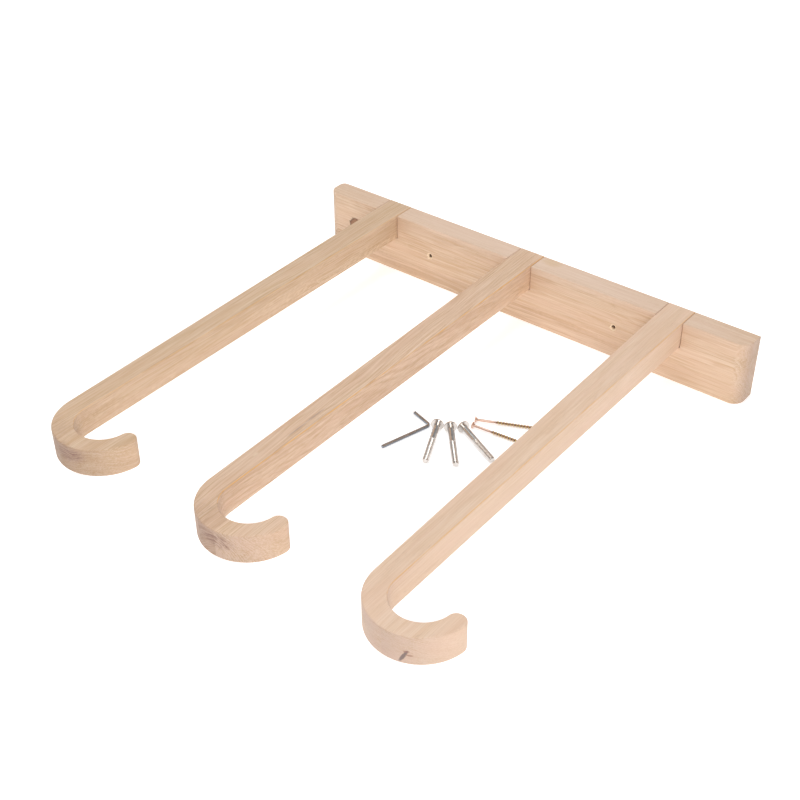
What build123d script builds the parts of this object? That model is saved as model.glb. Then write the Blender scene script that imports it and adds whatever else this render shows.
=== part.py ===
from build123d import *
import os
from math import acos, asin, atan2, cos, degrees, hypot, radians, sin

# Bicycle wall rack in solid oak: a wall rail with three hooked arms that drop into notches in its
# top edge, and the loose fixings laid out beside it.  All sizes are in millimetres.
# Frame: origin at the centre of the rail's back face, +X along the rail, +Y into the wall, +Z up.

# ---- driving dimensions: rail ----
RAIL_LENGTH = 650
RAIL_DEPTH = 33
RAIL_HEIGHT = 86.5
RAIL_END_RADIUS = 16
RAIL_BACK_RADIUS = 8
RAIL_EASE = 1.2
NOTCH_EASE = 0.8
SCREW_HOLE_SPACING = 290
SCREW_HOLE_RADIUS = 2.6
SCREW_SINK_RADIUS = 4.5
BOLT_HOLE_RADIUS = 4.5

# ---- driving dimensions: arms and hooks ----
ARM_COUNT = 3
ARM_SPACING = 220
ARM_WIDTH = 36
ARM_HEIGHT = 35.5
ARM_TAPER = 10.3
ARM_REACH = 647.5
ARM_EASE = 1.8
ARM_PROUD = 0.4
JOINT_GAP = 0.3
HOOK_OUTER_RADIUS = 56.5
HOOK_INNER_RADIUS = 33.5
HOOK_CROWN = 22.5
HOOK_TIP_REACH = 588
HOOK_TIP_RADIUS = 9.9
# distances of the glue lines from each arm's left side; the first stave runs back to the wall
GLUE_LINES = {1: [55.5], 2: [44.5, 71], 3: [64]}
STAVE_NAMES = {1: ["arm", "outer_block"], 2: ["arm", "middle_block", "outer_block"], 3: ["arm", "outer_block"]}

# ---- driving dimensions: fixings ----
INSERT_RADIUS = 6
INSERT_LENGTH = 15
INSERT_SOCKET = 8
INSERT_SOCKET_DEPTH = 4
THREAD_CORE_RADIUS = 3.4
INSERT_CHAMFER = 0.6
INSERT_SINK = 0.5
BOLT_RADIUS = 4
BOLT_LENGTH = 65
BOLT_SHANK = 27
BOLT_THREAD_RADIUS = 3.85
BOLT_HEAD_RADIUS = 8
BOLT_HEAD_HEIGHT = 4.4
BOLT_HEAD_RIM = 0.8
BOLT_HEAD_FLAT = 3
BOLT_TIP = 1.2
SOCKET_WIDTH = 4
SOCKET_DEPTH = 2.6
SCREW_LENGTH = 80
SCREW_HEAD_RADIUS = 4.2
SCREW_HEAD_RIM = 0.5
SCREW_HEAD_CONE = 2.8
SCREW_SHANK_RADIUS = 1.6
SCREW_SHANK = 24
SCREW_THREAD_RADIUS = 2.1
SCREW_POINT = 7
RECESS_WIDTH = 1
RECESS_LENGTH = 4.6
RECESS_DEPTH = 2
KEY_WIDTH = 4
KEY_BEND_RADIUS = 4.5
KEY_LONG = 70
KEY_SHORT = 31

# ---- worked out from the driving dimensions ----
RAIL_TOP = RAIL_HEIGHT / 2
RAIL_BOTTOM = -RAIL_HEIGHT / 2
RAIL_MIDDLE = -RAIL_DEPTH / 2
ARM_BOTTOM = RAIL_TOP + ARM_PROUD - ARM_HEIGHT
NOTCH_WIDTH = ARM_WIDTH + 2 * JOINT_GAP
ARM_PLACES = {n + 1: (n - (ARM_COUNT - 1) / 2) * ARM_SPACING for n in range(ARM_COUNT)}

# The fixings lie on a level surface in line with the rail's bottom edge: name, then where the
# underside of the head is in plan, and the heading from the head to the tip in degrees.
BOLT_PLACES = {1: (63.7, -292.6, -65.3), 2: (79.1, -286.8, -48.2), 3: (91.5, -277.2, -23.3)}
SCREW_PLACES = {1: (90.1, -252.4, 26.3), 2: (94.1, -263.3, 8.4)}
KEY_CORNER = (52.8, -292.1)
KEY_LONG_HEADING = -106
KEY_SHORT_HEADING = 164


def save(builder, name):
    """Label a finished piece and write it as its own STEP file."""
    builder.part.label = name
    export_step(builder.part, f"parts/{name}.step")


def notch_mouth_edges(rail):
    """The edges where the notches break out through the rail's front, back and top."""
    edges = []
    for edge in rail.edges():
        middle = edge.center()
        near_arm = min(abs(middle.X - x) for x in ARM_PLACES.values()) <= NOTCH_WIDTH / 2 + 0.01
        on_face = middle.Y > -RAIL_EASE or middle.Y < -RAIL_DEPTH + RAIL_EASE
        on_top = middle.Z > RAIL_TOP - RAIL_EASE
        inside = middle.Z > ARM_BOTTOM - 0.01
        if near_arm and inside and (on_face or on_top):
            edges.append(edge)
    return edges


def carved_arm(x):
    """A whole arm with its hook, glued up and shaped, centred on x; its left side tapers to the hook."""
    left = x - ARM_WIDTH / 2
    right = x + ARM_WIDTH / 2
    outer_centre = (left + ARM_TAPER + HOOK_OUTER_RADIUS, HOOK_OUTER_RADIUS - ARM_REACH)
    inner_centre = (right + HOOK_INNER_RADIUS, HOOK_CROWN + HOOK_INNER_RADIUS - ARM_REACH)
    outer_end = degrees(asin((-HOOK_TIP_REACH - outer_centre[1]) / HOOK_OUTER_RADIUS))
    inner_end = degrees(asin((-HOOK_TIP_REACH - inner_centre[1]) / HOOK_INNER_RADIUS))
    taper_run = -RAIL_DEPTH - outer_centre[1]
    taper_across = outer_centre[0] - left
    to_corner = degrees(atan2(taper_run, -taper_across))
    tangent = to_corner + degrees(acos(HOOK_OUTER_RADIUS / hypot(taper_run, taper_across)))
    with BuildPart() as arm:
        with BuildSketch(Plane.XY.offset(ARM_BOTTOM)) as outline:
            with BuildLine():
                outer = CenterArc(outer_centre, HOOK_OUTER_RADIUS, tangent, 360 + outer_end - tangent)
                inner = CenterArc(inner_centre, HOOK_INNER_RADIUS, 180, 180 + inner_end)
                Polyline(outer @ 0, (left, -RAIL_DEPTH), (left, 0), (right, 0), (right, inner_centre[1]))
                Line(outer @ 1, inner @ 1)
            make_face()
            tip_low = -HOOK_TIP_REACH - 0.01
            tip = outline.vertices().filter_by_position(Axis.Y, tip_low, tip_low + 0.02)
            fillet(tip, HOOK_TIP_RADIUS)
        extrude(amount=ARM_HEIGHT)
        fillet(arm.edges().group_by(Axis.Z)[0] + arm.edges().group_by(Axis.Z)[-1], ARM_EASE)
        with Locations(Plane((x, RAIL_MIDDLE, ARM_BOTTOM), z_dir=(0, 0, -1))):
            Hole(INSERT_RADIUS, INSERT_LENGTH + INSERT_SINK)
    return arm


def stave(arm, low, high):
    """The stave of a carved arm between two upright glue planes; None leaves that side whole."""
    with BuildPart() as piece:
        add(arm.part)
        if low is not None:
            split(bisect_by=Plane.YZ.offset(low), keep=Keep.TOP)
        if high is not None:
            split(bisect_by=Plane.YZ.offset(high), keep=Keep.BOTTOM)
    return piece


def lying_plane(place, head_radius, tip_radius, reach):
    """Local x along a fixing that lies on its head's rim and its tip, local y upwards."""
    x, y, heading = place
    turn = radians(heading)
    dip = atan2(head_radius - tip_radius, reach)
    along = (cos(dip) * cos(turn), cos(dip) * sin(turn), -sin(dip))
    return Plane((x, y, RAIL_BOTTOM + head_radius * cos(dip)), x_dir=along, z_dir=(sin(turn), -cos(turn), 0))


# ---- wall rail ----
with BuildPart() as wall_rail:
    with BuildSketch(Plane.XY.offset(RAIL_BOTTOM)) as rail_plan:
        with Locations((0, RAIL_MIDDLE)):
            Rectangle(RAIL_LENGTH, RAIL_DEPTH)
        fillet(rail_plan.vertices().group_by(Axis.Y)[0], RAIL_END_RADIUS)
        back_left = rail_plan.vertices().group_by(Axis.Y)[-1].sort_by(Axis.X)[0]
        fillet(back_left, RAIL_BACK_RADIUS)
    extrude(amount=RAIL_HEIGHT)
    fillet(wall_rail.edges().group_by(Axis.Z)[0] + wall_rail.edges().group_by(Axis.Z)[-1], RAIL_EASE)
    with Locations(*[(x, RAIL_MIDDLE, ARM_BOTTOM - JOINT_GAP) for x in ARM_PLACES.values()]):
        bottom = (Align.CENTER, Align.CENTER, Align.MIN)
        Box(NOTCH_WIDTH, RAIL_DEPTH, ARM_HEIGHT, align=bottom, mode=Mode.SUBTRACT)
    chamfer(notch_mouth_edges(wall_rail), NOTCH_EASE)
    with Locations(*[(x, RAIL_MIDDLE, ARM_BOTTOM) for x in ARM_PLACES.values()]):
        Hole(BOLT_HOLE_RADIUS, RAIL_HEIGHT)
    for side in (-1, 1):
        front = Plane((side * SCREW_HOLE_SPACING / 2, -RAIL_DEPTH, 0), z_dir=(0, -1, 0))
        with Locations(front):
            CounterSinkHole(SCREW_HOLE_RADIUS, SCREW_SINK_RADIUS, RAIL_DEPTH, 90)

def thread_insert(x):
    """A screw-in steel sleeve with a hexagon drive at its mouth, in the arm's underside."""
    floor = ARM_BOTTOM + INSERT_SINK
    with BuildPart() as insert:
        with BuildSketch(Plane((x, RAIL_MIDDLE, floor))):
            Circle(INSERT_RADIUS)
            Circle(THREAD_CORE_RADIUS, mode=Mode.SUBTRACT)
        extrude(amount=INSERT_LENGTH)
        rims = insert.edges().filter_by(GeomType.CIRCLE).group_by(SortBy.RADIUS)[-1]
        chamfer(rims, INSERT_CHAMFER)
        with BuildSketch(Plane((x, RAIL_MIDDLE, floor))):
            RegularPolygon(INSERT_SOCKET / 2, 6, major_radius=False)
        extrude(amount=INSERT_SOCKET_DEPTH, mode=Mode.SUBTRACT)
    return insert


def joint_bolt(place):
    """A domed socket-head bolt: plain shank for the first part, then thread."""
    lie = lying_plane(place, BOLT_HEAD_RADIUS, BOLT_RADIUS, BOLT_LENGTH - BOLT_TIP)
    with BuildPart() as bolt:
        with BuildSketch(lie):
            with BuildLine():
                Polyline(
                    (-BOLT_HEAD_HEIGHT, BOLT_HEAD_FLAT),
                    (-BOLT_HEAD_HEIGHT, 0),
                    (BOLT_LENGTH, 0),
                    (BOLT_LENGTH, BOLT_RADIUS - BOLT_TIP),
                    (BOLT_LENGTH - BOLT_TIP, BOLT_THREAD_RADIUS),
                    (BOLT_SHANK, BOLT_THREAD_RADIUS),
                    (BOLT_SHANK, BOLT_RADIUS),
                    (0, BOLT_RADIUS),
                    (0, BOLT_HEAD_RADIUS),
                    (-BOLT_HEAD_RIM, BOLT_HEAD_RADIUS),
                )
                rim = (-BOLT_HEAD_RIM, BOLT_HEAD_RADIUS)
                RadiusArc(rim, (-BOLT_HEAD_HEIGHT, BOLT_HEAD_FLAT), -BOLT_HEAD_RADIUS)
            make_face()
        revolve(axis=Axis(lie.origin, lie.x_dir))
        top = lie.origin - lie.x_dir * BOLT_HEAD_HEIGHT
        with BuildSketch(Plane(top, z_dir=lie.x_dir)):
            RegularPolygon(SOCKET_WIDTH / 2, 6, major_radius=False)
        extrude(amount=SOCKET_DEPTH, mode=Mode.SUBTRACT)
    return bolt


def wall_screw(place):
    """A countersunk wood screw: plain shank for the first part, then coarse thread to its point."""
    lie = lying_plane(place, SCREW_HEAD_RADIUS, SCREW_THREAD_RADIUS, SCREW_LENGTH - SCREW_POINT)
    with BuildPart() as screw:
        with BuildSketch(lie):
            with BuildLine():
                Polyline(
                    (0, 0),
                    (0, SCREW_HEAD_RADIUS),
                    (SCREW_HEAD_RIM, SCREW_HEAD_RADIUS),
                    (SCREW_HEAD_RIM + SCREW_HEAD_CONE, SCREW_SHANK_RADIUS),
                    (SCREW_SHANK, SCREW_SHANK_RADIUS),
                    (SCREW_SHANK, SCREW_THREAD_RADIUS),
                    (SCREW_LENGTH - SCREW_POINT, SCREW_THREAD_RADIUS),
                    (SCREW_LENGTH, 0),
                    close=True,
                )
            make_face()
        revolve(axis=Axis(lie.origin, lie.x_dir))
        with BuildSketch(Plane(lie.origin, z_dir=lie.x_dir)):
            Rectangle(RECESS_LENGTH, RECESS_WIDTH)
            Rectangle(RECESS_WIDTH, RECESS_LENGTH)
        extrude(amount=RECESS_DEPTH, mode=Mode.SUBTRACT)
    return screw


# ---- hexagon key, bent from one bar, flat side down ----
def along(heading, distance):
    """The point at a distance from the key's corner along a heading, on the bar's centre line."""
    turn = radians(heading)
    x, y = KEY_CORNER
    return (x + distance * cos(turn), y + distance * sin(turn), RAIL_BOTTOM + KEY_WIDTH / 2)


with BuildPart() as hex_key:
    with BuildLine() as key_line:
        key_points = [along(KEY_LONG_HEADING, KEY_LONG), along(0, 0), along(KEY_SHORT_HEADING, KEY_SHORT)]
        FilletPolyline(*key_points, radius=KEY_BEND_RADIUS)
    key_run = key_line.wires()[0]
    across = (key_run % 0).cross(Vector(0, 0, 1))
    with BuildSketch(Plane(key_run @ 0, x_dir=across, z_dir=key_run % 0)):
        RegularPolygon(KEY_WIDTH / 2, 6, major_radius=False)
    sweep(path=key_run)

os.makedirs("parts", exist_ok=True)
save(wall_rail, "wall_rail")
for number, x in ARM_PLACES.items():
    whole = carved_arm(x)
    cuts = [x - ARM_WIDTH / 2 + line for line in GLUE_LINES[number]]
    lows = [None] + cuts
    highs = cuts + [None]
    for name, low, high in zip(STAVE_NAMES[number], lows, highs):
        label = f"arm_{number}" if name == "arm" else f"hook_{number}_{name}"
        save(stave(whole, low, high), label)
    save(thread_insert(x), f"thread_insert_{number}")
for number, place in BOLT_PLACES.items():
    save(joint_bolt(place), f"joint_bolt_{number}")
for number, place in SCREW_PLACES.items():
    save(wall_screw(place), f"wall_screw_{number}")
save(hex_key, "hex_key")
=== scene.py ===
import math

import bpy
import numpy as np
from mathutils import Matrix, Vector


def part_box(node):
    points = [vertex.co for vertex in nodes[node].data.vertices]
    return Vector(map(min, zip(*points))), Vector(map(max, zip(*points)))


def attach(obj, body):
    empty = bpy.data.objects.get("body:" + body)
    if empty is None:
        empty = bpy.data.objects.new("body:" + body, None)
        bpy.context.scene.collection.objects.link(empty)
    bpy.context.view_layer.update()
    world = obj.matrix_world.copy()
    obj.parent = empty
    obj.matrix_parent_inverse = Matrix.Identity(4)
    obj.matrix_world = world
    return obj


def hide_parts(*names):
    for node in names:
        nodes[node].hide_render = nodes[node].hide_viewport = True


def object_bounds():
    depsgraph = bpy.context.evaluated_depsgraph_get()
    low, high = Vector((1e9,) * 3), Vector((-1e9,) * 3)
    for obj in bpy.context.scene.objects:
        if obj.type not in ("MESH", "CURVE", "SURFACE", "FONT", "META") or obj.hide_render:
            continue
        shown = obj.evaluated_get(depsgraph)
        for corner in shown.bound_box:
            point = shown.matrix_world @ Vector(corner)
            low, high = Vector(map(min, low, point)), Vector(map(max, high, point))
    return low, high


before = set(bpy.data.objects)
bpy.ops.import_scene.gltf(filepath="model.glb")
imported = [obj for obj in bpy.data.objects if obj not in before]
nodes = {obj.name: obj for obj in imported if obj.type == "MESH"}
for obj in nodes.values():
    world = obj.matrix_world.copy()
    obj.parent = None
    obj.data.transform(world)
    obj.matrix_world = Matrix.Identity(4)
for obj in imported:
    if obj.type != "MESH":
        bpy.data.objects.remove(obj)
cad_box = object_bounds()

# Bicycle wall rack in solid oak.  Metres, in the CAD frame: +X along the rail, +Y into the wall,
# +Z up.  The wood keeps its CAD shape and gets a solid oak material; the metal fixings are rebuilt
# with real threads, domes and sockets.

MM = 0.001
UP = Vector((0, 0, 1))

# ---- camera, floor and light: millimetres of lens, degrees, metres and watts ----
SENSOR = 36.0
LENS = 60.1
VIEW_HEADING = 38.5
VIEW_DIP = 36.46
VIEW_ROLL = -0.444
VIEW_DISTANCE = 1.5636
AIM_FROM_CENTRE = Vector((0.028, 0.0056, 0.0))
CLIP_END = 60.0
FLOOR_SIZE = 14.0
FLOOR_COLOUR = (0.93, 0.93, 0.94, 1)
FLOOR_GLOW = 0.45
SKY_COLOUR = (0.97, 0.985, 1.0, 1)
SKY_FADE = {"From Min": 0.05, "From Max": 0.7, "To Min": 0.85, "To Max": 0.34}
# a light's offset from the rack, its side, its power and its colour
KEY_LIGHT = (Vector((1.7, -1.5, 1.6)), 1.3, 22, (1.0, 0.97, 0.93))
TOP_LIGHT = (Vector((-0.4, 0.2, 2.3)), 1.8, 30, (1.0, 0.99, 0.97))


def add_camera(centre):
    """A camera that looks down on the rack from its front right."""
    turn = Matrix.Rotation(math.radians(VIEW_HEADING), 4, "Z")
    tip = Matrix.Rotation(math.radians(90 - VIEW_DIP), 4, "X")
    roll = Matrix.Rotation(math.radians(VIEW_ROLL), 4, "Z")
    rotation = turn @ tip @ roll
    data = bpy.data.cameras.new("camera")
    data.sensor_width = SENSOR
    data.lens = LENS
    data.clip_end = CLIP_END
    camera = bpy.data.objects.new("camera", data)
    bpy.context.scene.collection.objects.link(camera)
    back = rotation @ Vector((0, 0, 1, 0))
    eye = centre + AIM_FROM_CENTRE + back.to_3d() * VIEW_DISTANCE
    camera.matrix_world = Matrix.Translation(eye) @ rotation
    bpy.context.scene.camera = camera


def area_light(name, target, offset, size, power, colour):
    """A square soft box, offset from its target and turned towards it."""
    data = bpy.data.lights.new(name, "AREA")
    data.size = size
    data.energy = power
    data.color = colour
    light = bpy.data.objects.new(name, data)
    bpy.context.scene.collection.objects.link(light)
    place = target + offset
    light.location = place
    light.rotation_euler = (target - place).to_track_quat("-Z", "Y").to_euler()


def add_floor(height):
    """A plain pale floor, level with the rail's bottom edge."""
    half = FLOOR_SIZE / 2
    mesh = bpy.data.meshes.new("floor")
    corners = [(-half, -half, height), (half, -half, height), (half, half, height), (-half, half, height)]
    mesh.from_pydata(corners, [], [(0, 1, 2, 3)])
    floor = bpy.data.objects.new("floor", mesh)
    bpy.context.scene.collection.objects.link(floor)
    material = bpy.data.materials.new("floor_white")
    material.use_nodes = True
    shader = material.node_tree.nodes["Principled BSDF"]
    shader.inputs["Base Color"].default_value = FLOOR_COLOUR
    shader.inputs["Roughness"].default_value = 0.8
    shader.inputs["Specular IOR Level"].default_value = 0.2
    shader.inputs["Emission Color"].default_value = (1, 1, 1, 1)
    shader.inputs["Emission Strength"].default_value = FLOOR_GLOW
    mesh.materials.append(material)


def light_scene(centre):
    """Surroundings that are brightest low down, a soft box at the front right and one overhead."""
    world = bpy.data.worlds.new("world")
    bpy.context.scene.world = world
    world.use_nodes = True
    tree = world.node_tree
    background = tree.nodes["Background"]
    background.inputs["Color"].default_value = SKY_COLOUR
    place = tree.nodes.new("ShaderNodeTexCoord")
    split = tree.nodes.new("ShaderNodeSeparateXYZ")
    fade = tree.nodes.new("ShaderNodeMapRange")
    fade.interpolation_type = "SMOOTHSTEP"
    tree.links.new(place.outputs["Generated"], split.inputs[0])
    tree.links.new(split.outputs["Z"], fade.inputs["Value"])
    tree.links.new(fade.outputs["Result"], background.inputs["Strength"])
    for name, value in SKY_FADE.items():
        fade.inputs[name].default_value = value
    area_light("key_light", centre, *KEY_LIGHT)
    area_light("top_light", centre, *TOP_LIGHT)
    bpy.context.scene.view_settings.view_transform = "Standard"


# ---- node building ----
class Graph:
    """Short ways to add shader nodes to one material."""

    def __init__(self, name):
        self.material = bpy.data.materials.new(name)
        self.material.use_nodes = True
        self.tree = self.material.node_tree
        self.shader = self.tree.nodes["Principled BSDF"]

    def add(self, kind, settings=None, **inputs):
        """Add a node, set its properties, and plug values or sockets into its named inputs."""
        node = self.tree.nodes.new(kind)
        for key, value in (settings or {}).items():
            setattr(node, key, value)
        for key, value in inputs.items():
            self.plug(node.inputs[key.replace("_", " ")], value)
        return node

    def plug(self, socket, value):
        if isinstance(value, bpy.types.NodeSocket):
            self.tree.links.new(value, socket)
        elif value is not None:
            socket.default_value = value

    def math(self, operation, *values):
        node = self.add("ShaderNodeMath", {"operation": operation})
        for socket, value in zip(node.inputs, values):
            self.plug(socket, value)
        return node.outputs[0]

    def times(self, first, *others):
        for other in others:
            first = self.math("MULTIPLY", first, other)
        return first

    def plus(self, first, *others):
        for other in others:
            first = self.math("ADD", first, other)
        return first

    def minus(self, first, second):
        return self.math("SUBTRACT", first, second)

    def over(self, first, second):
        return self.math("DIVIDE", first, second)

    def vector(self, x, y, z):
        return self.add("ShaderNodeCombineXYZ", X=x, Y=y, Z=z).outputs[0]

    def length(self, vector):
        return self.add("ShaderNodeVectorMath", {"operation": "LENGTH"}, Vector=vector).outputs["Value"]

    def grey(self, value):
        return self.add("ShaderNodeCombineColor", Red=value, Green=value, Blue=value).outputs[0]

    def noise(self, vector, detail=2.0, roughness=0.5):
        node = self.add("ShaderNodeTexNoise", Vector=vector, Scale=1.0, Detail=detail, Roughness=roughness)
        return node.outputs["Fac"]

    def centred(self, value, amount):
        """A value about one half, moved to lie about zero and scaled."""
        return self.times(self.minus(value, 0.5), amount)

    def step(self, value, low, high, out_low=0.0, out_high=1.0):
        """A smooth step of a value from low to high."""
        node = self.add("ShaderNodeMapRange", {"interpolation_type": "SMOOTHSTEP"})
        for socket, item in zip(node.inputs, (value, low, high, out_low, out_high)):
            self.plug(socket, item)
        return node.outputs[0]

    def mix(self, factor, first, second, blend="MIX"):
        node = self.add("ShaderNodeMix", {"data_type": "RGBA", "blend_type": blend})
        self.plug(node.inputs[0], factor)
        for socket, colour in ((node.inputs[6], first), (node.inputs[7], second)):
            if isinstance(colour, bpy.types.NodeSocket):
                self.tree.links.new(colour, socket)
            else:
                socket.default_value = (*colour, 1)
        return node.outputs[2]


# ---- oak ----
OAK_LIGHT = (0.735, 0.545, 0.400)
OAK_DARK = (0.600, 0.390, 0.235)
# the colour of a painted warm highlight on eased edges
WARM_EDGE_HIGHLIGHT = (0.78, 0.42, 0.14)
STRAND_DARK = (0.905, 0.845, 0.765)
STRAND_LIGHT = (1.055, 1.085, 1.14)


def tone(colour, red=1.0, green=1.0, blue=1.0):
    return (colour[0] * red, colour[1] * green, colour[2] * blue)


def oak(name, centre, grain, pith, light=OAK_LIGHT, dark=OAK_DARK, seed=0.0, tilt=0.0, ring=2.6,
        wander=14.0, streaks=0.6, lines=0.5, flecks=0.0, strands=1.0, edge_highlight=0.0, end=(0.77, 0.77, 0.83),
        marks=()):
    """Solid oak: growth rings round a pith line, soft streaks, fibres, pores, ray flecks and marks.

    Lengths are in millimetres.  grain is the axis that the fibres follow.  centre is the middle of
    the stave's section, and pith is the pith's place from there, both across the grain.  light and
    dark are the late and the early wood, and end tints the end grain.  ring is the width of a growth
    ring.  tilt and wander are how much the grain runs off its axis.  streaks, lines, flecks and
    strands are strengths, and edge_highlight is that of a painted warm highlight on the edge where
    top and right side meet.  marks are knots, stains and painted light and shade: (place, radii,
    lean, softness, strength, how far they follow the rings, colour).
    """
    g = Graph(name)
    place = g.add("ShaderNodeTexCoord").outputs["Object"]
    parts = [g.times(part, 1 / MM) for part in g.add("ShaderNodeSeparateXYZ", Vector=place).outputs]
    a_axis, b_axis, grain_axis = {"X": (1, 2, 0), "Y": (0, 2, 1)}[grain]
    length = parts[grain_axis]
    a = g.plus(g.minus(parts[a_axis], centre[0]), g.times(length, tilt))
    b = g.minus(parts[b_axis], centre[1])

    def field(across, along, shift, **settings):
        """Noise with its own size across and along the grain."""
        far = g.plus(g.over(length, along), seed + shift)
        return g.noise(g.vector(g.over(a, across), g.over(b, across), far), **settings)

    def ring_field(depth, round_about, along, shift, **settings):
        """Noise that follows the growth rings."""
        far = g.plus(g.over(length, along), seed + shift)
        return g.noise(g.vector(g.over(radius, depth), g.times(turn, round_about), far), **settings)

    def sway(across, along, shift, amount):
        return g.centred(field(across, along, shift, detail=2.0), amount)

    # the rings: radius and turn about the pith
    ring_a = g.plus(g.minus(a, pith[0]), g.plus(sway(40, 170, 1.3, wander), sway(7, 45, 3.1, 1.8)))
    ring_b = g.plus(g.minus(b, pith[1]), sway(40, 170, 7.9, wander))
    radius = g.length(g.vector(ring_a, ring_b, 0.0))
    turn = g.math("ARCTAN2", ring_b, ring_a)
    uneven = g.noise(g.vector(g.over(radius, 9.0), seed, 0.0), detail=2.0)
    cycle = g.math("FRACT", g.plus(g.over(radius, ring), g.times(uneven, 2.6)))
    early = g.times(g.step(cycle, 0.0, 0.15), g.step(cycle, 0.2, 0.75, 1.0, 0.0))
    broken = ring_field(3.0, 6.0, 55.0, 0.0, detail=2.0)
    early = g.times(early, g.step(broken, 0.3, 0.75, 0.1, 1.0))
    streak = ring_field(2.6, 3.0, 210.0, 5.0, detail=4.0, roughness=0.65)
    streak = g.times(g.step(streak, 0.38, 0.68), streaks)

    # early wood shows more on the end grain
    normal = g.add("ShaderNodeNewGeometry").outputs["Normal"]
    facing = g.add("ShaderNodeSeparateXYZ", Vector=normal).outputs
    end_grain = g.math("POWER", g.math("ABSOLUTE", facing[grain_axis]), 2.0)
    clear = g.plus(lines, g.times(end_grain, 0.8))
    colour = g.mix(g.math("MAXIMUM", streak, g.times(early, clear)), light, dark)

    # fibres, strands and pores run along the grain
    fibre = field(0.6, 22, 11.0, detail=3.0, roughness=0.65)
    strand = g.step(field(1.0, 60, 19.0, detail=2.0, roughness=0.6), 0.34, 0.66)
    broad = field(26, 260, 23.0, detail=1.0)
    pores = g.step(field(0.36, 7.0, 29.0, detail=1.0), 0.60, 0.70)
    pores = g.times(pores, g.step(early, 0.1, 0.6, 0.3, 1.0))

    # ray flecks show where the face runs through the pith
    across_ring = g.over(g.plus(g.times(facing[a_axis], ring_a), g.times(facing[b_axis], ring_b)), radius)
    ray_face = g.step(g.math("ABSOLUTE", across_ring), 0.25, 0.8, 1.0, 0.0)
    ray_far = g.plus(g.over(length, 6.0), g.over(radius, 5.0))
    rays = g.noise(g.vector(g.times(turn, 30.0), g.over(radius, 2.4), ray_far), detail=2.0)
    patch = g.step(field(20, 150, 61.0, detail=1.0), 0.35, 0.6)
    rays = g.times(g.step(rays, 0.47, 0.62), ray_face, patch, flecks)

    shade = g.plus(1.0, g.centred(fibre, 0.20), g.centred(broad, 0.14))
    shade = g.minus(shade, g.times(pores, 0.14))
    colour = g.mix(1.0, colour, g.grey(shade), "MULTIPLY")
    colour = g.mix(strands, colour, g.mix(strand, STRAND_DARK, STRAND_LIGHT), "MULTIPLY")
    colour = g.mix(rays, colour, tone(light, 1.16, 1.20, 1.22))
    pink = g.step(field(18, 190, 37.0, detail=2.0), 0.35, 0.7, 0.0, 0.35)
    colour = g.mix(pink, colour, tone(light, 1.02, 0.95, 0.98))
    colour = g.mix(g.times(end_grain, 0.9), colour, end, "MULTIPLY")

    if edge_highlight:
        # painted highlight: a warm orange band on the eased edges that face up and to the right, towards
        # the key light
        edge = g.times(g.math("MINIMUM", facing[2], facing[0]), 1.414)
        uneven_edge_highlight = g.step(field(2, 34, 47.0, detail=2.0), 0.28, 0.6, 0.25, 1.0)
        colour = g.mix(g.times(g.step(edge, 0.45, 0.9), uneven_edge_highlight, edge_highlight), colour, WARM_EDGE_HIGHLIGHT)
    lined = g.math("MAXIMUM", early, g.step(streak, 0.1, 0.5 * streaks + 0.11))
    # the marks are knots and stains, and also painted highlights, painted bounce light and painted shade
    for middle, radii, lean, softness, strength, grainy, stain_and_painted_light in marks:
        off = [g.minus(part, spot) for part, spot in zip(parts, middle)]
        off[0] = g.minus(off[0], g.times(off[2], lean))
        away = g.length(g.vector(*[g.over(o, r) for o, r in zip(off, radii)]))
        ragged = g.plus(away, g.centred(field(2.4, 5, middle[0], detail=3.0), 0.9))
        spot = g.step(ragged, 1.0 - softness, 1.0 + softness * 0.3, 1.0, 0.0)
        spot = g.times(spot, g.plus(1.0 - grainy, g.times(lined, grainy)))
        colour = g.mix(g.times(spot, strength), colour, stain_and_painted_light)
    g.plug(g.shader.inputs["Base Color"], colour)

    rough = g.plus(0.50, g.times(fibre, 0.14), g.times(pores, 0.15))
    g.plug(g.shader.inputs["Roughness"], rough)
    g.shader.inputs["Specular IOR Level"].default_value = 0.3
    height = g.minus(g.minus(g.times(fibre, 0.5), pores), g.times(early, 0.25))
    bump = g.add("ShaderNodeBump", Height=height, Strength=0.35, Distance=0.00025)
    g.plug(g.shader.inputs["Normal"], bump.outputs["Normal"])
    return g.material


def section_middle(node, grain):
    """The middle of a node's section across the grain, in millimetres."""
    low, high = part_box(node)
    middle = (low + high) / 2 / MM
    return (middle.y, middle.z) if grain == "X" else (middle.x, middle.z)


KNOT = (0.13, 0.055, 0.028)
KNOT_HEART = (0.36, 0.19, 0.105)
BARE = (0.88, 0.70, 0.50)
TANNIN = (0.30, 0.18, 0.14)
# the colour of painted warm bounce light on the arms' sides next to the rail
PAINTED_BOUNCE_LIGHT = (0.93, 0.63, 0.33)
# the colour of a painted highlight along the rail's top
PAINTED_TOP_HIGHLIGHT = (0.79, 0.61, 0.51)
YELLOW_STAIN = (0.60, 0.40, 0.17)
MINERAL = (0.36, 0.23, 0.18)
SLIVER = (0.17, 0.125, 0.12)
# millimetres: a screw hole's place to either side, and the outer radius of a hook's bend
SCREW_HOLE_PLACE = 145
HOOK_BULGE = 56.5


def hook_spot(number, degrees, depth):
    """A place on the outside of a hook's bend, from its angle in plan and its depth below the top."""
    low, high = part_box(f"hook_{number}_outer_block")
    middle_x = high.x / MM - HOOK_BULGE
    middle_y = low.y / MM + HOOK_BULGE
    turn = math.radians(degrees)
    x = middle_x + HOOK_BULGE * math.cos(turn)
    y = middle_y + HOOK_BULGE * math.sin(turn)
    return (x, y, high.z / MM - depth)


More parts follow.
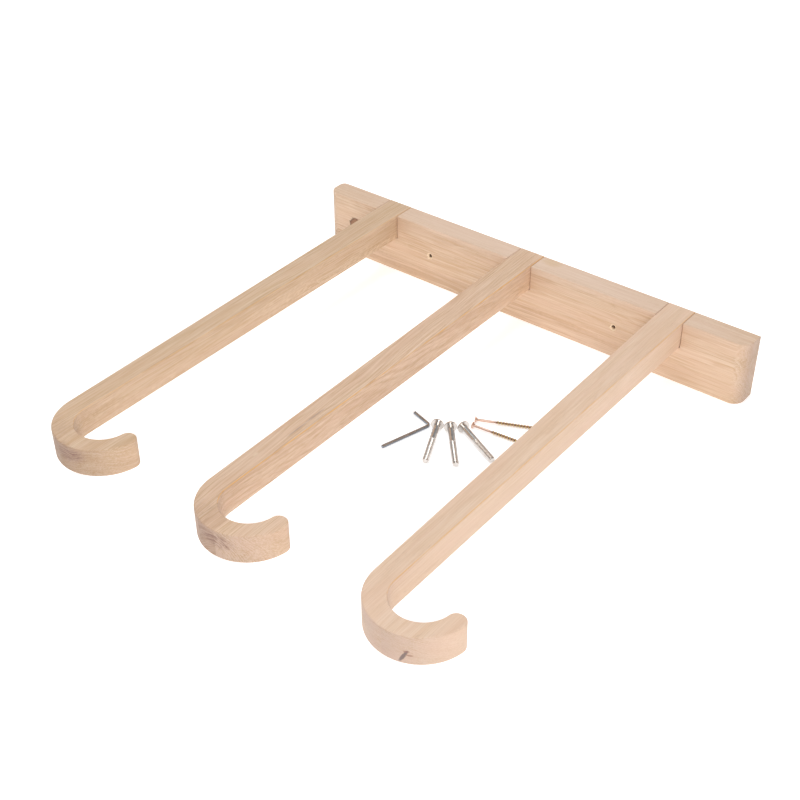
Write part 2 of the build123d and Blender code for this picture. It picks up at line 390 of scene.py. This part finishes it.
def wood_finishes():
    """Each stave's own oak: where its pith lay, how its grain runs, its tone and its marks."""
    rail_low, rail_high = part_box("wall_rail")
    front, left, top = rail_low.y / MM, rail_low.x / MM, rail_high.z / MM
    rail_marks = [
        # painted highlight: a paler, pinker band over the rail's top and the top of its front
        ((0, front / 2, top), (420, 30, 9), 0.0, 0.9, 0.55, 0.0, PAINTED_TOP_HIGHLIGHT),
        ((left + 47, front, 7), (9.5, 12, 9), 0.35, 0.2, 0.9, 0.0, KNOT),
        ((left + 47.5, front, 7), (8, 12, 7), 0.35, 0.3, 0.85, 0.0, KNOT_HEART),
        ((35, -9, top), (15, 9, 4), 0.0, 0.5, 0.30, 0.0, YELLOW_STAIN),
        ((left + 20, front, -22), (75, 12, 22), 0.0, 0.7, 0.6, 1.0, (0.40, 0.24, 0.14)),
        ((-60, front, -30), (240, 12, 16), 0.0, 0.7, 0.4, 1.0, (0.44, 0.27, 0.15)),
    ]
    for x in (-SCREW_HOLE_PLACE, SCREW_HOLE_PLACE):
        rail_marks.append(((x, front, 0), (4.7, 5, 4.7), 0.0, 0.05, 0.9, 0.0, BARE))
        # painted shade: near black down the bore of each screw hole
        rail_marks.append(((x, front / 2, 0), (2.7, 40, 2.7), 0.0, 0.05, 0.95, 0.0, (0.06, 0.03, 0.02)))
    hook_1_marks = [
        (hook_spot(1, 236, 18), (36, 34, 22), 0.0, 0.8, 0.50, 0.3, TANNIN),
        (hook_spot(1, 274, 10), (26, 12, 11), 0.0, 0.7, 0.75, 0.7, tone(TANNIN, 0.7, 0.6, 0.65)),
    ]
    hook_2_marks = [
        (hook_spot(2, 238, 18), (34, 32, 22), 0.0, 0.8, 0.45, 0.3, TANNIN),
        (hook_spot(2, 277, 12), (24, 12, 10), -0.7, 0.7, 0.75, 0.8, tone(TANNIN, 0.7, 0.6, 0.6)),
    ]
    arm_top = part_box("arm_2")[1].z / MM
    arm_2_marks = [
        ((8.6, -444, arm_top), (1.7, 18, 3), 0.0, 0.6, 0.6, 0.0, MINERAL),
        ((9.6, -474, arm_top), (1.5, 17, 3), 0.0, 0.6, 0.6, 0.0, MINERAL),
        ((3.5, -534, arm_top), (1.6, 5, 2), 0.0, 0.5, 0.35, 0.0, (0.86, 0.72, 0.56)),
    ]
    hook_3_marks = [
        (hook_spot(3, 291, 25.5), (2.2, 5, 9.5), 0.5, 0.45, 0.85, 0.0, SLIVER),
        (hook_spot(3, 293.5, 19), (3.2, 4, 1.5), 0.6, 0.6, 0.7, 0.0, (0.30, 0.15, 0.12)),
        (hook_spot(3, 297, 23.5), (4.4, 4, 1.3), -0.6, 0.6, 0.7, 0.0, (0.34, 0.17, 0.12)),
    ]

    def bounce_lit_side(node, reach, strength):
        """Painted bounce light: a brighter, yellower right-hand side, next to the rail."""
        low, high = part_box(node)
        middle = (high.x / MM + 10, -55, (low.z + high.z) / 2 / MM - 6)
        return [(middle, (18, reach, 40), 0.0, 0.8, strength, 0.0, PAINTED_BOUNCE_LIGHT)]

    yellow = {"light": tone(OAK_LIGHT, 0.92, 0.92, 0.88), "dark": tone(OAK_DARK, 0.90, 0.88, 0.80)}
    grey = {"light": tone(OAK_LIGHT, 0.99, 0.98, 0.98), "dark": tone(OAK_DARK, 0.92, 0.90, 0.88)}
    brown = {"light": tone(OAK_LIGHT, 0.90, 0.87, 0.84), "dark": tone(OAK_DARK, 0.84, 0.80, 0.76)}
    pale = {"light": tone(OAK_LIGHT, 1.04, 1.05, 1.08), "dark": tone(OAK_DARK, 1.12, 1.14, 1.18)}
    return {
        "wall_rail": {
            "grain": "X", "pith": (62, 22), "seed": 1.0, "ring": 1.9, "wander": 12.0, "streaks": 0.6,
            "lines": 0.6, "light": tone(OAK_LIGHT, 0.98, 0.99, 0.98), "marks": rail_marks,
        },
        "arm_1": {
            "grain": "Y", "pith": (38, 72), "seed": 5.0, "tilt": 0.01, "ring": 2.4, "streaks": 0.5,
            "lines": 0.75, "flecks": 0.6, "edge_highlight": 0.35, "end": (0.68, 0.67, 0.72),
            "marks": bounce_lit_side("arm_1", 230, 0.5) + hook_1_marks, **yellow,
        },
        "hook_1_outer_block": {
            "grain": "Y", "pith": (5, -90), "seed": 9.0, "tilt": -0.01, "ring": 2.4, "streaks": 0.6,
            "end": (0.70, 0.68, 0.71), "marks": hook_1_marks, **yellow,
        },
        "arm_2": {
            "grain": "Y", "pith": (-58, -20), "seed": 13.0, "tilt": 0.055, "ring": 3.4, "wander": 18.0,
            "streaks": 0.6, "lines": 0.8, "flecks": 0.4, "edge_highlight": 0.9,
            "marks": bounce_lit_side("arm_2", 210, 0.55) + arm_2_marks + hook_2_marks, **grey,
        },
        "hook_2_middle_block": {
            "grain": "Y", "pith": (30, -70), "seed": 17.0, "tilt": 0.02, "ring": 2.4, "streaks": 0.8,
            "lines": 0.6, "marks": hook_2_marks, **brown,
        },
        "hook_2_outer_block": {
            "grain": "Y", "pith": (-44, -26), "seed": 21.0, "tilt": 0.01, "ring": 2.4, "streaks": 0.45,
            "lines": 0.6, "marks": hook_2_marks,
        },
        "arm_3": {
            "grain": "Y", "pith": (8, -95), "seed": 25.0, "tilt": 0.012, "ring": 2.2, "streaks": 0.35,
            "lines": 0.35, "flecks": 0.1, "strands": 0.55, "edge_highlight": 0.6,
            "marks": bounce_lit_side("arm_3", 110, 0.3), **pale,
        },
        "hook_3_outer_block": {
            "grain": "Y", "pith": (-20, -85), "seed": 29.0, "tilt": -0.008, "ring": 2.2, "streaks": 0.35,
            "lines": 0.3, "strands": 0.55, "marks": hook_3_marks, **pale,
        },
    }


def finish(node, material):
    """Give a CAD node one material."""
    slots = nodes[node].data.materials
    slots.clear()
    slots.append(material)


# ---- metal ----
PATCH_SCALE = 260.0
GRIT_SCALE = 2600.0
PINK_ZINC = (0.62, 0.43, 0.35)
# painted shade for the bottom of a screw thread's groove
PAINTED_GROOVE_SHADE = (0.10, 0.045, 0.025)


def metal(name, colour, roughness, speckle, tint, coat_and_groove_shade=None):
    """Plated metal with small pits and an uneven tint.

    coat_and_groove_shade holds two more colours, for a mesh that asks for them: the first at one half,
    the second at one.  On the screws the first is the pink coat and the second is painted shade for
    the bottom of the thread's groove.
    """
    g = Graph(name)
    place = g.add("ShaderNodeTexCoord").outputs["Object"]

    def scaled_noise(scale, detail):
        scaled = g.add("ShaderNodeVectorMath", {"operation": "SCALE"}, Vector=place, Scale=scale)
        return g.noise(scaled.outputs[0], detail=detail)

    patches = scaled_noise(PATCH_SCALE, 3.0)
    grit = scaled_noise(GRIT_SCALE, 2.0)
    base = g.mix(g.step(patches, 0.3, 0.7), colour, tint)
    if coat_and_groove_shade:
        amount = g.add("ShaderNodeAttribute", {"attribute_name": "coat_and_groove_shade"}).outputs["Fac"]
        base = g.mix(g.step(amount, 0.0, 0.5), base, coat_and_groove_shade[0])
        # painted shade: the second colour darkens the bottom of a thread's groove
        base = g.mix(g.step(amount, 0.5, 1.0), base, coat_and_groove_shade[1])
    g.plug(g.shader.inputs["Base Color"], base)
    g.shader.inputs["Metallic"].default_value = 1.0
    g.plug(g.shader.inputs["Roughness"], g.plus(roughness, g.times(grit, speckle)))
    bump = g.add("ShaderNodeBump", Height=grit, Strength=0.12, Distance=0.00005)
    g.plug(g.shader.inputs["Normal"], bump.outputs["Normal"])
    return g.material


# ---- fixings ----
# degrees: edges sharper than this stay crisp
TURNED_CREASE = 34
KEY_CREASE = 24


def lie_of(node):
    """The head end and the direction of a turned fixing, from its CAD mesh."""
    points = np.unique(np.round([v.co[:] for v in nodes[node].data.vertices], 6), axis=0)
    middle = points.mean(0)
    direction = np.linalg.svd(points - middle)[2][0]
    along = (points - middle) @ direction
    away = np.linalg.norm(points - middle - np.outer(along, direction), axis=1)
    if along[away.argmax()] > 0:
        direction, along = -direction, -along
    return Vector(middle + direction * along.min()), Vector(direction), along.max() - along.min()


def ring(x, radius, count):
    """A ring of points about the local x axis; radius is a number or one number for each point."""
    radii = np.broadcast_to(radius, count)
    turns = np.arange(count) * 2 * math.pi / count
    return [(x, r * math.cos(t), r * math.sin(t)) for r, t in zip(radii, turns)]


def hexagon_radii(width, count):
    """Distances from the middle to a hexagon's sides, at evenly spaced turns."""
    turns = np.arange(count) * 2 * math.pi / count
    off = (turns + math.pi / 6) % (math.pi / 3) - math.pi / 6
    return width / 2 / np.cos(off)


def closed_mesh(name, rings):
    """A mesh through rings of points, closed by a flat face at each end."""
    count = len(rings[0])
    faces = []
    for row in range(len(rings) - 1):
        for k in range(count):
            n = (k + 1) % count
            faces.append((row * count + k, row * count + n, (row + 1) * count + n, (row + 1) * count + k))
    faces.append(tuple(range(count))[::-1])
    faces.append(tuple(range((len(rings) - 1) * count, len(rings) * count)))
    mesh = bpy.data.meshes.new(name)
    mesh.from_pydata([tuple(p) for r in rings for p in r], [], faces)
    return mesh


def stand_in(mesh, crease, material, body, node):
    """A piece from a mesh that rides on a body, in place of a CAD node."""
    mesh.shade_smooth()
    mesh.set_sharp_from_angle(angle=math.radians(crease))
    mesh.update()
    mesh.materials.append(material)
    piece = bpy.data.objects.new(mesh.name, mesh)
    bpy.context.scene.collection.objects.link(piece)
    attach(piece, body)
    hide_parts(node)
    return piece


def skin(name, rings, place, direction, material, body, node, coat_and_groove_shade=None):
    """A piece through rings of points, set on a line in space, in place of a CAD node.

    coat_and_groove_shade gives a point's share of the material's coat colour and painted groove shade,
    from the point's own place.
    """
    mesh = closed_mesh(name, rings)
    if coat_and_groove_shade:
        values = mesh.attributes.new("coat_and_groove_shade", "FLOAT", "POINT").data
        for value, point in zip(values, (p for r in rings for p in r)):
            value.value = coat_and_groove_shade(*point)
    side = UP.cross(direction).normalized()
    turn = Matrix((direction, side, direction.cross(side))).transposed().to_4x4()
    mesh.transform(Matrix.Translation(place) @ turn)
    return stand_in(mesh, TURNED_CREASE, material, body, node)


def thread(start, end, core, crest, pitch, steps, count):
    """Rings of a helical thread that fades in and out at its ends, with steps to a pitch."""
    turns = np.arange(count) / count
    rows = int(round((end - start) / pitch * steps))
    rings = []
    for row in range(rows + 1):
        x = start + (end - start) * row / rows
        wave = 0.5 + 0.5 * np.cos(2 * math.pi * ((x - start) / pitch - turns))
        fade = min(1.0, (x - start) / pitch, (end - x) / pitch + 0.35)
        rings.append(ring(x, core + (crest - core) * fade * wave, count))
    return rings


BOLT_SIDES = 48
BOLT_HEAD = 4.4 * MM
BOLT_HEAD_RADIUS = 8.0 * MM
BOLT_SHANK_END = 27.0 * MM
BOLT_RADIUS = 4.0 * MM
BOLT_CORE = 3.5 * MM
BOLT_PITCH = 1.25 * MM
BOLT_CHAMFER = 0.9 * MM
BOLT_FLAT = 3.1 * MM
BOLT_RIM = 0.8 * MM
BOLT_DOME_STEPS = 9
BOLT_THREAD_STEPS = 12
SOCKET_WIDTH = 4.0 * MM
SOCKET_DEPTH = 2.6 * MM


def bolt_rings(whole):
    """A domed socket head, a plain shank and a thread, from the socket's floor to the tip."""
    hexagon = hexagon_radii(SOCKET_WIDTH, BOLT_SIDES)
    shank_end = BOLT_HEAD + BOLT_SHANK_END
    tip_radius = BOLT_RADIUS - BOLT_CHAMFER
    profile = [
        (SOCKET_DEPTH + 0.5 * MM, 0.3 * MM),
        (SOCKET_DEPTH, hexagon * 0.96),
        (0.25 * MM, hexagon),
        (0.0, hexagon * 1.09),
        (0.0, BOLT_FLAT),
    ]
    for step in range(1, BOLT_DOME_STEPS + 1):
        t = step / BOLT_DOME_STEPS * math.pi / 2
        radius = BOLT_FLAT + (BOLT_HEAD_RADIUS - BOLT_FLAT) * math.sin(t)
        profile.append(((BOLT_HEAD - BOLT_RIM) * (1 - math.cos(t)), radius))
    profile += [
        (BOLT_HEAD - 0.15 * MM, BOLT_HEAD_RADIUS),
        (BOLT_HEAD, BOLT_HEAD_RADIUS - 0.15 * MM),
        (BOLT_HEAD, BOLT_RADIUS + 0.3 * MM),
        (BOLT_HEAD + 0.3 * MM, BOLT_RADIUS),
        (shank_end - 0.3 * MM, BOLT_RADIUS),
    ]
    rings = [ring(x, radius, BOLT_SIDES) for x, radius in profile]
    rings += thread(shank_end, whole - BOLT_CHAMFER, BOLT_CORE, BOLT_RADIUS, BOLT_PITCH,
                    BOLT_THREAD_STEPS, BOLT_SIDES)
    rings.append(ring(whole - 0.1 * MM, tip_radius, BOLT_SIDES))
    rings.append(ring(whole, tip_radius - 0.2 * MM, BOLT_SIDES))
    return rings


SCREW_SIDES = 36
SCREW_HEAD_RADIUS = 4.2 * MM
SCREW_RIM = 0.5 * MM
SCREW_CONE = 2.8 * MM
SCREW_SHANK_RADIUS = 1.6 * MM
SCREW_SHANK_END = 24.0 * MM
SCREW_CORE = 1.15 * MM
SCREW_CREST = 2.25 * MM
SCREW_PITCH = 3.6 * MM
SCREW_POINT = 7.0 * MM
SCREW_CONE_STEPS = 6
SCREW_THREAD_STEPS = 22
RECESS_HALF_LENGTH = 2.3 * MM
RECESS_HALF_WIDTH = 0.5 * MM


def cross_radii(half_length, half_width, count):
    """Distances from the middle to the edge of a cross with rounded arms."""
    turns = np.arange(count) * 2 * math.pi / count
    lobe = np.abs(np.cos(2 * turns)) ** 6
    return half_width * 1.5 + (half_length - half_width * 1.5) * lobe


def screw_rings(whole):
    """A countersunk head with a cross recess, a plain shank and a coarse thread down to a point."""
    cross = cross_radii(RECESS_HALF_LENGTH, RECESS_HALF_WIDTH, SCREW_SIDES)
    profile = [
        (2.2 * MM, 0.25 * MM),
        (1.6 * MM, cross * 0.45),
        (0.1 * MM, cross),
        (0.0, cross * 1.04),
        (0.0, SCREW_HEAD_RADIUS - 0.2 * MM),
        (0.15 * MM, SCREW_HEAD_RADIUS),
        (SCREW_RIM, SCREW_HEAD_RADIUS),
    ]
    for step in range(1, SCREW_CONE_STEPS + 1):
        t = step / SCREW_CONE_STEPS
        radius = SCREW_SHANK_RADIUS + (SCREW_HEAD_RADIUS - SCREW_SHANK_RADIUS) * (1 - t) ** 1.4
        profile.append((SCREW_RIM + SCREW_CONE * t, radius))
    profile.append((SCREW_SHANK_END - 1.0 * MM, SCREW_SHANK_RADIUS))
    rings = [ring(x, radius, SCREW_SIDES) for x, radius in profile]
    start = SCREW_SHANK_END - 0.6 * MM
    body = thread(start, whole, SCREW_CORE, SCREW_CREST, SCREW_PITCH, SCREW_THREAD_STEPS, SCREW_SIDES)
    for row in body[:-1]:
        taper = min(1.0, (whole - row[0][0]) / SCREW_POINT) ** 0.8
        rings.append([(x, y * taper, z * taper) for x, y, z in row])
    rings.append(ring(whole, 0.05 * MM, SCREW_SIDES))
    return rings


def screw_coat_and_groove_shade(x, y, z):
    """Pink on the head and the shank, and painted shade deepening towards the bottom of the thread's
    groove.
    """
    if x < SCREW_SHANK_END:
        return 0.5
    return min(1.0, max(0.0, (SCREW_CREST - math.hypot(y, z)) / (SCREW_CREST - SCREW_CORE)))


KEY_WIDTH = 4.0 * MM
KEY_BEND = 4.5 * MM
KEY_LONG = 70.0 * MM
KEY_SHORT = 31.0 * MM
KEY_LONG_HEADING = -106
KEY_SHORT_HEADING = 164
KEY_SIDES = 24
KEY_BEND_STEPS = 14
KEY_CHAMFER = 0.4 * MM
KEY_END_SHARE = 0.86
KEY_CORNER_SHARE = 1.12


def level_way(degrees):
    return Vector((math.cos(math.radians(degrees)), math.sin(math.radians(degrees)), 0))


def key_path():
    """The bar's centre line about its corner: a long leg, a round bend and a short leg."""
    long_way = level_way(KEY_LONG_HEADING)
    short_way = level_way(KEY_SHORT_HEADING)
    centre = (long_way + short_way) * KEY_BEND
    path = [long_way * KEY_LONG, long_way * (KEY_LONG - KEY_CHAMFER), long_way * (KEY_LONG / 2)]
    for step in range(KEY_BEND_STEPS + 1):
        t = step / KEY_BEND_STEPS * math.pi / 2
        path.append(centre - short_way * KEY_BEND * math.cos(t) - long_way * KEY_BEND * math.sin(t))
    path.append(short_way * (KEY_SHORT / 2 + KEY_BEND / 2))
    path += [short_way * (KEY_SHORT - KEY_CHAMFER), short_way * KEY_SHORT]
    return path


def add_key(material):
    """The hexagon key: a bar with slightly rounded corners swept round the bend, in its CAD place."""
    path = key_path()
    turns = np.arange(KEY_SIDES) * 2 * math.pi / KEY_SIDES + math.pi / 6
    off = (turns + math.pi / 6) % (math.pi / 3) - math.pi / 6
    radii = np.minimum(KEY_WIDTH / 2 / np.cos(off), KEY_WIDTH / 2 * KEY_CORNER_SHARE)
    rings = []
    for index, spot in enumerate(path):
        before, after = path[max(index - 1, 0)], path[min(index + 1, len(path) - 1)]
        side = (after - before).normalized().cross(UP)
        shrink = KEY_END_SHARE if index in (0, len(path) - 1) else 1.0
        rings.append([spot + (side * math.sin(t) + UP * math.cos(t)) * r * shrink
                      for r, t in zip(radii, turns)])
    mesh = closed_mesh("hex_key_bar", rings)
    lowest = Vector([min(v.co[i] for v in mesh.vertices) for i in range(3)])
    mesh.transform(Matrix.Translation(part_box("hex_key")[0] - lowest))
    piece = stand_in(mesh, KEY_CREASE, material, "key", "hex_key")


# ---- build ----
centre = (cad_box[0] + cad_box[1]) / 2
add_camera(centre)
add_floor(cad_box[0].z)
light_scene(centre)

for node, look in wood_finishes().items():
    finish(node, oak(f"oak_{node}", section_middle(node, look["grain"]), **look))

bright = metal("bright_nickel", (0.68, 0.66, 0.64), 0.10, 0.12, (0.60, 0.56, 0.53))
gold = metal("yellow_zinc", (0.56, 0.46, 0.15), 0.24, 0.12, (0.52, 0.36, 0.16), (PINK_ZINC, PAINTED_GROOVE_SHADE))
dull = metal("zinc_insert", (0.50, 0.50, 0.48), 0.34, 0.20, (0.45, 0.45, 0.432))
black = metal("dark_key", (0.36, 0.40, 0.46), 0.06, 0.08, (0.30, 0.33, 0.37))

for number in (1, 2, 3):
    start, direction, whole = lie_of(f"joint_bolt_{number}")
    bolt = skin(f"bolt_{number}_threaded", bolt_rings(whole), start, direction, bright,
                f"bolt_{number}", f"joint_bolt_{number}")
    finish(f"thread_insert_{number}", dull)
for number in (1, 2):
    start, direction, whole = lie_of(f"wall_screw_{number}")
    screw = skin(f"screw_{number}_threaded", screw_rings(whole), start, direction, gold,
                 f"screw_{number}", f"wall_screw_{number}", screw_coat_and_groove_shade)
add_key(black)
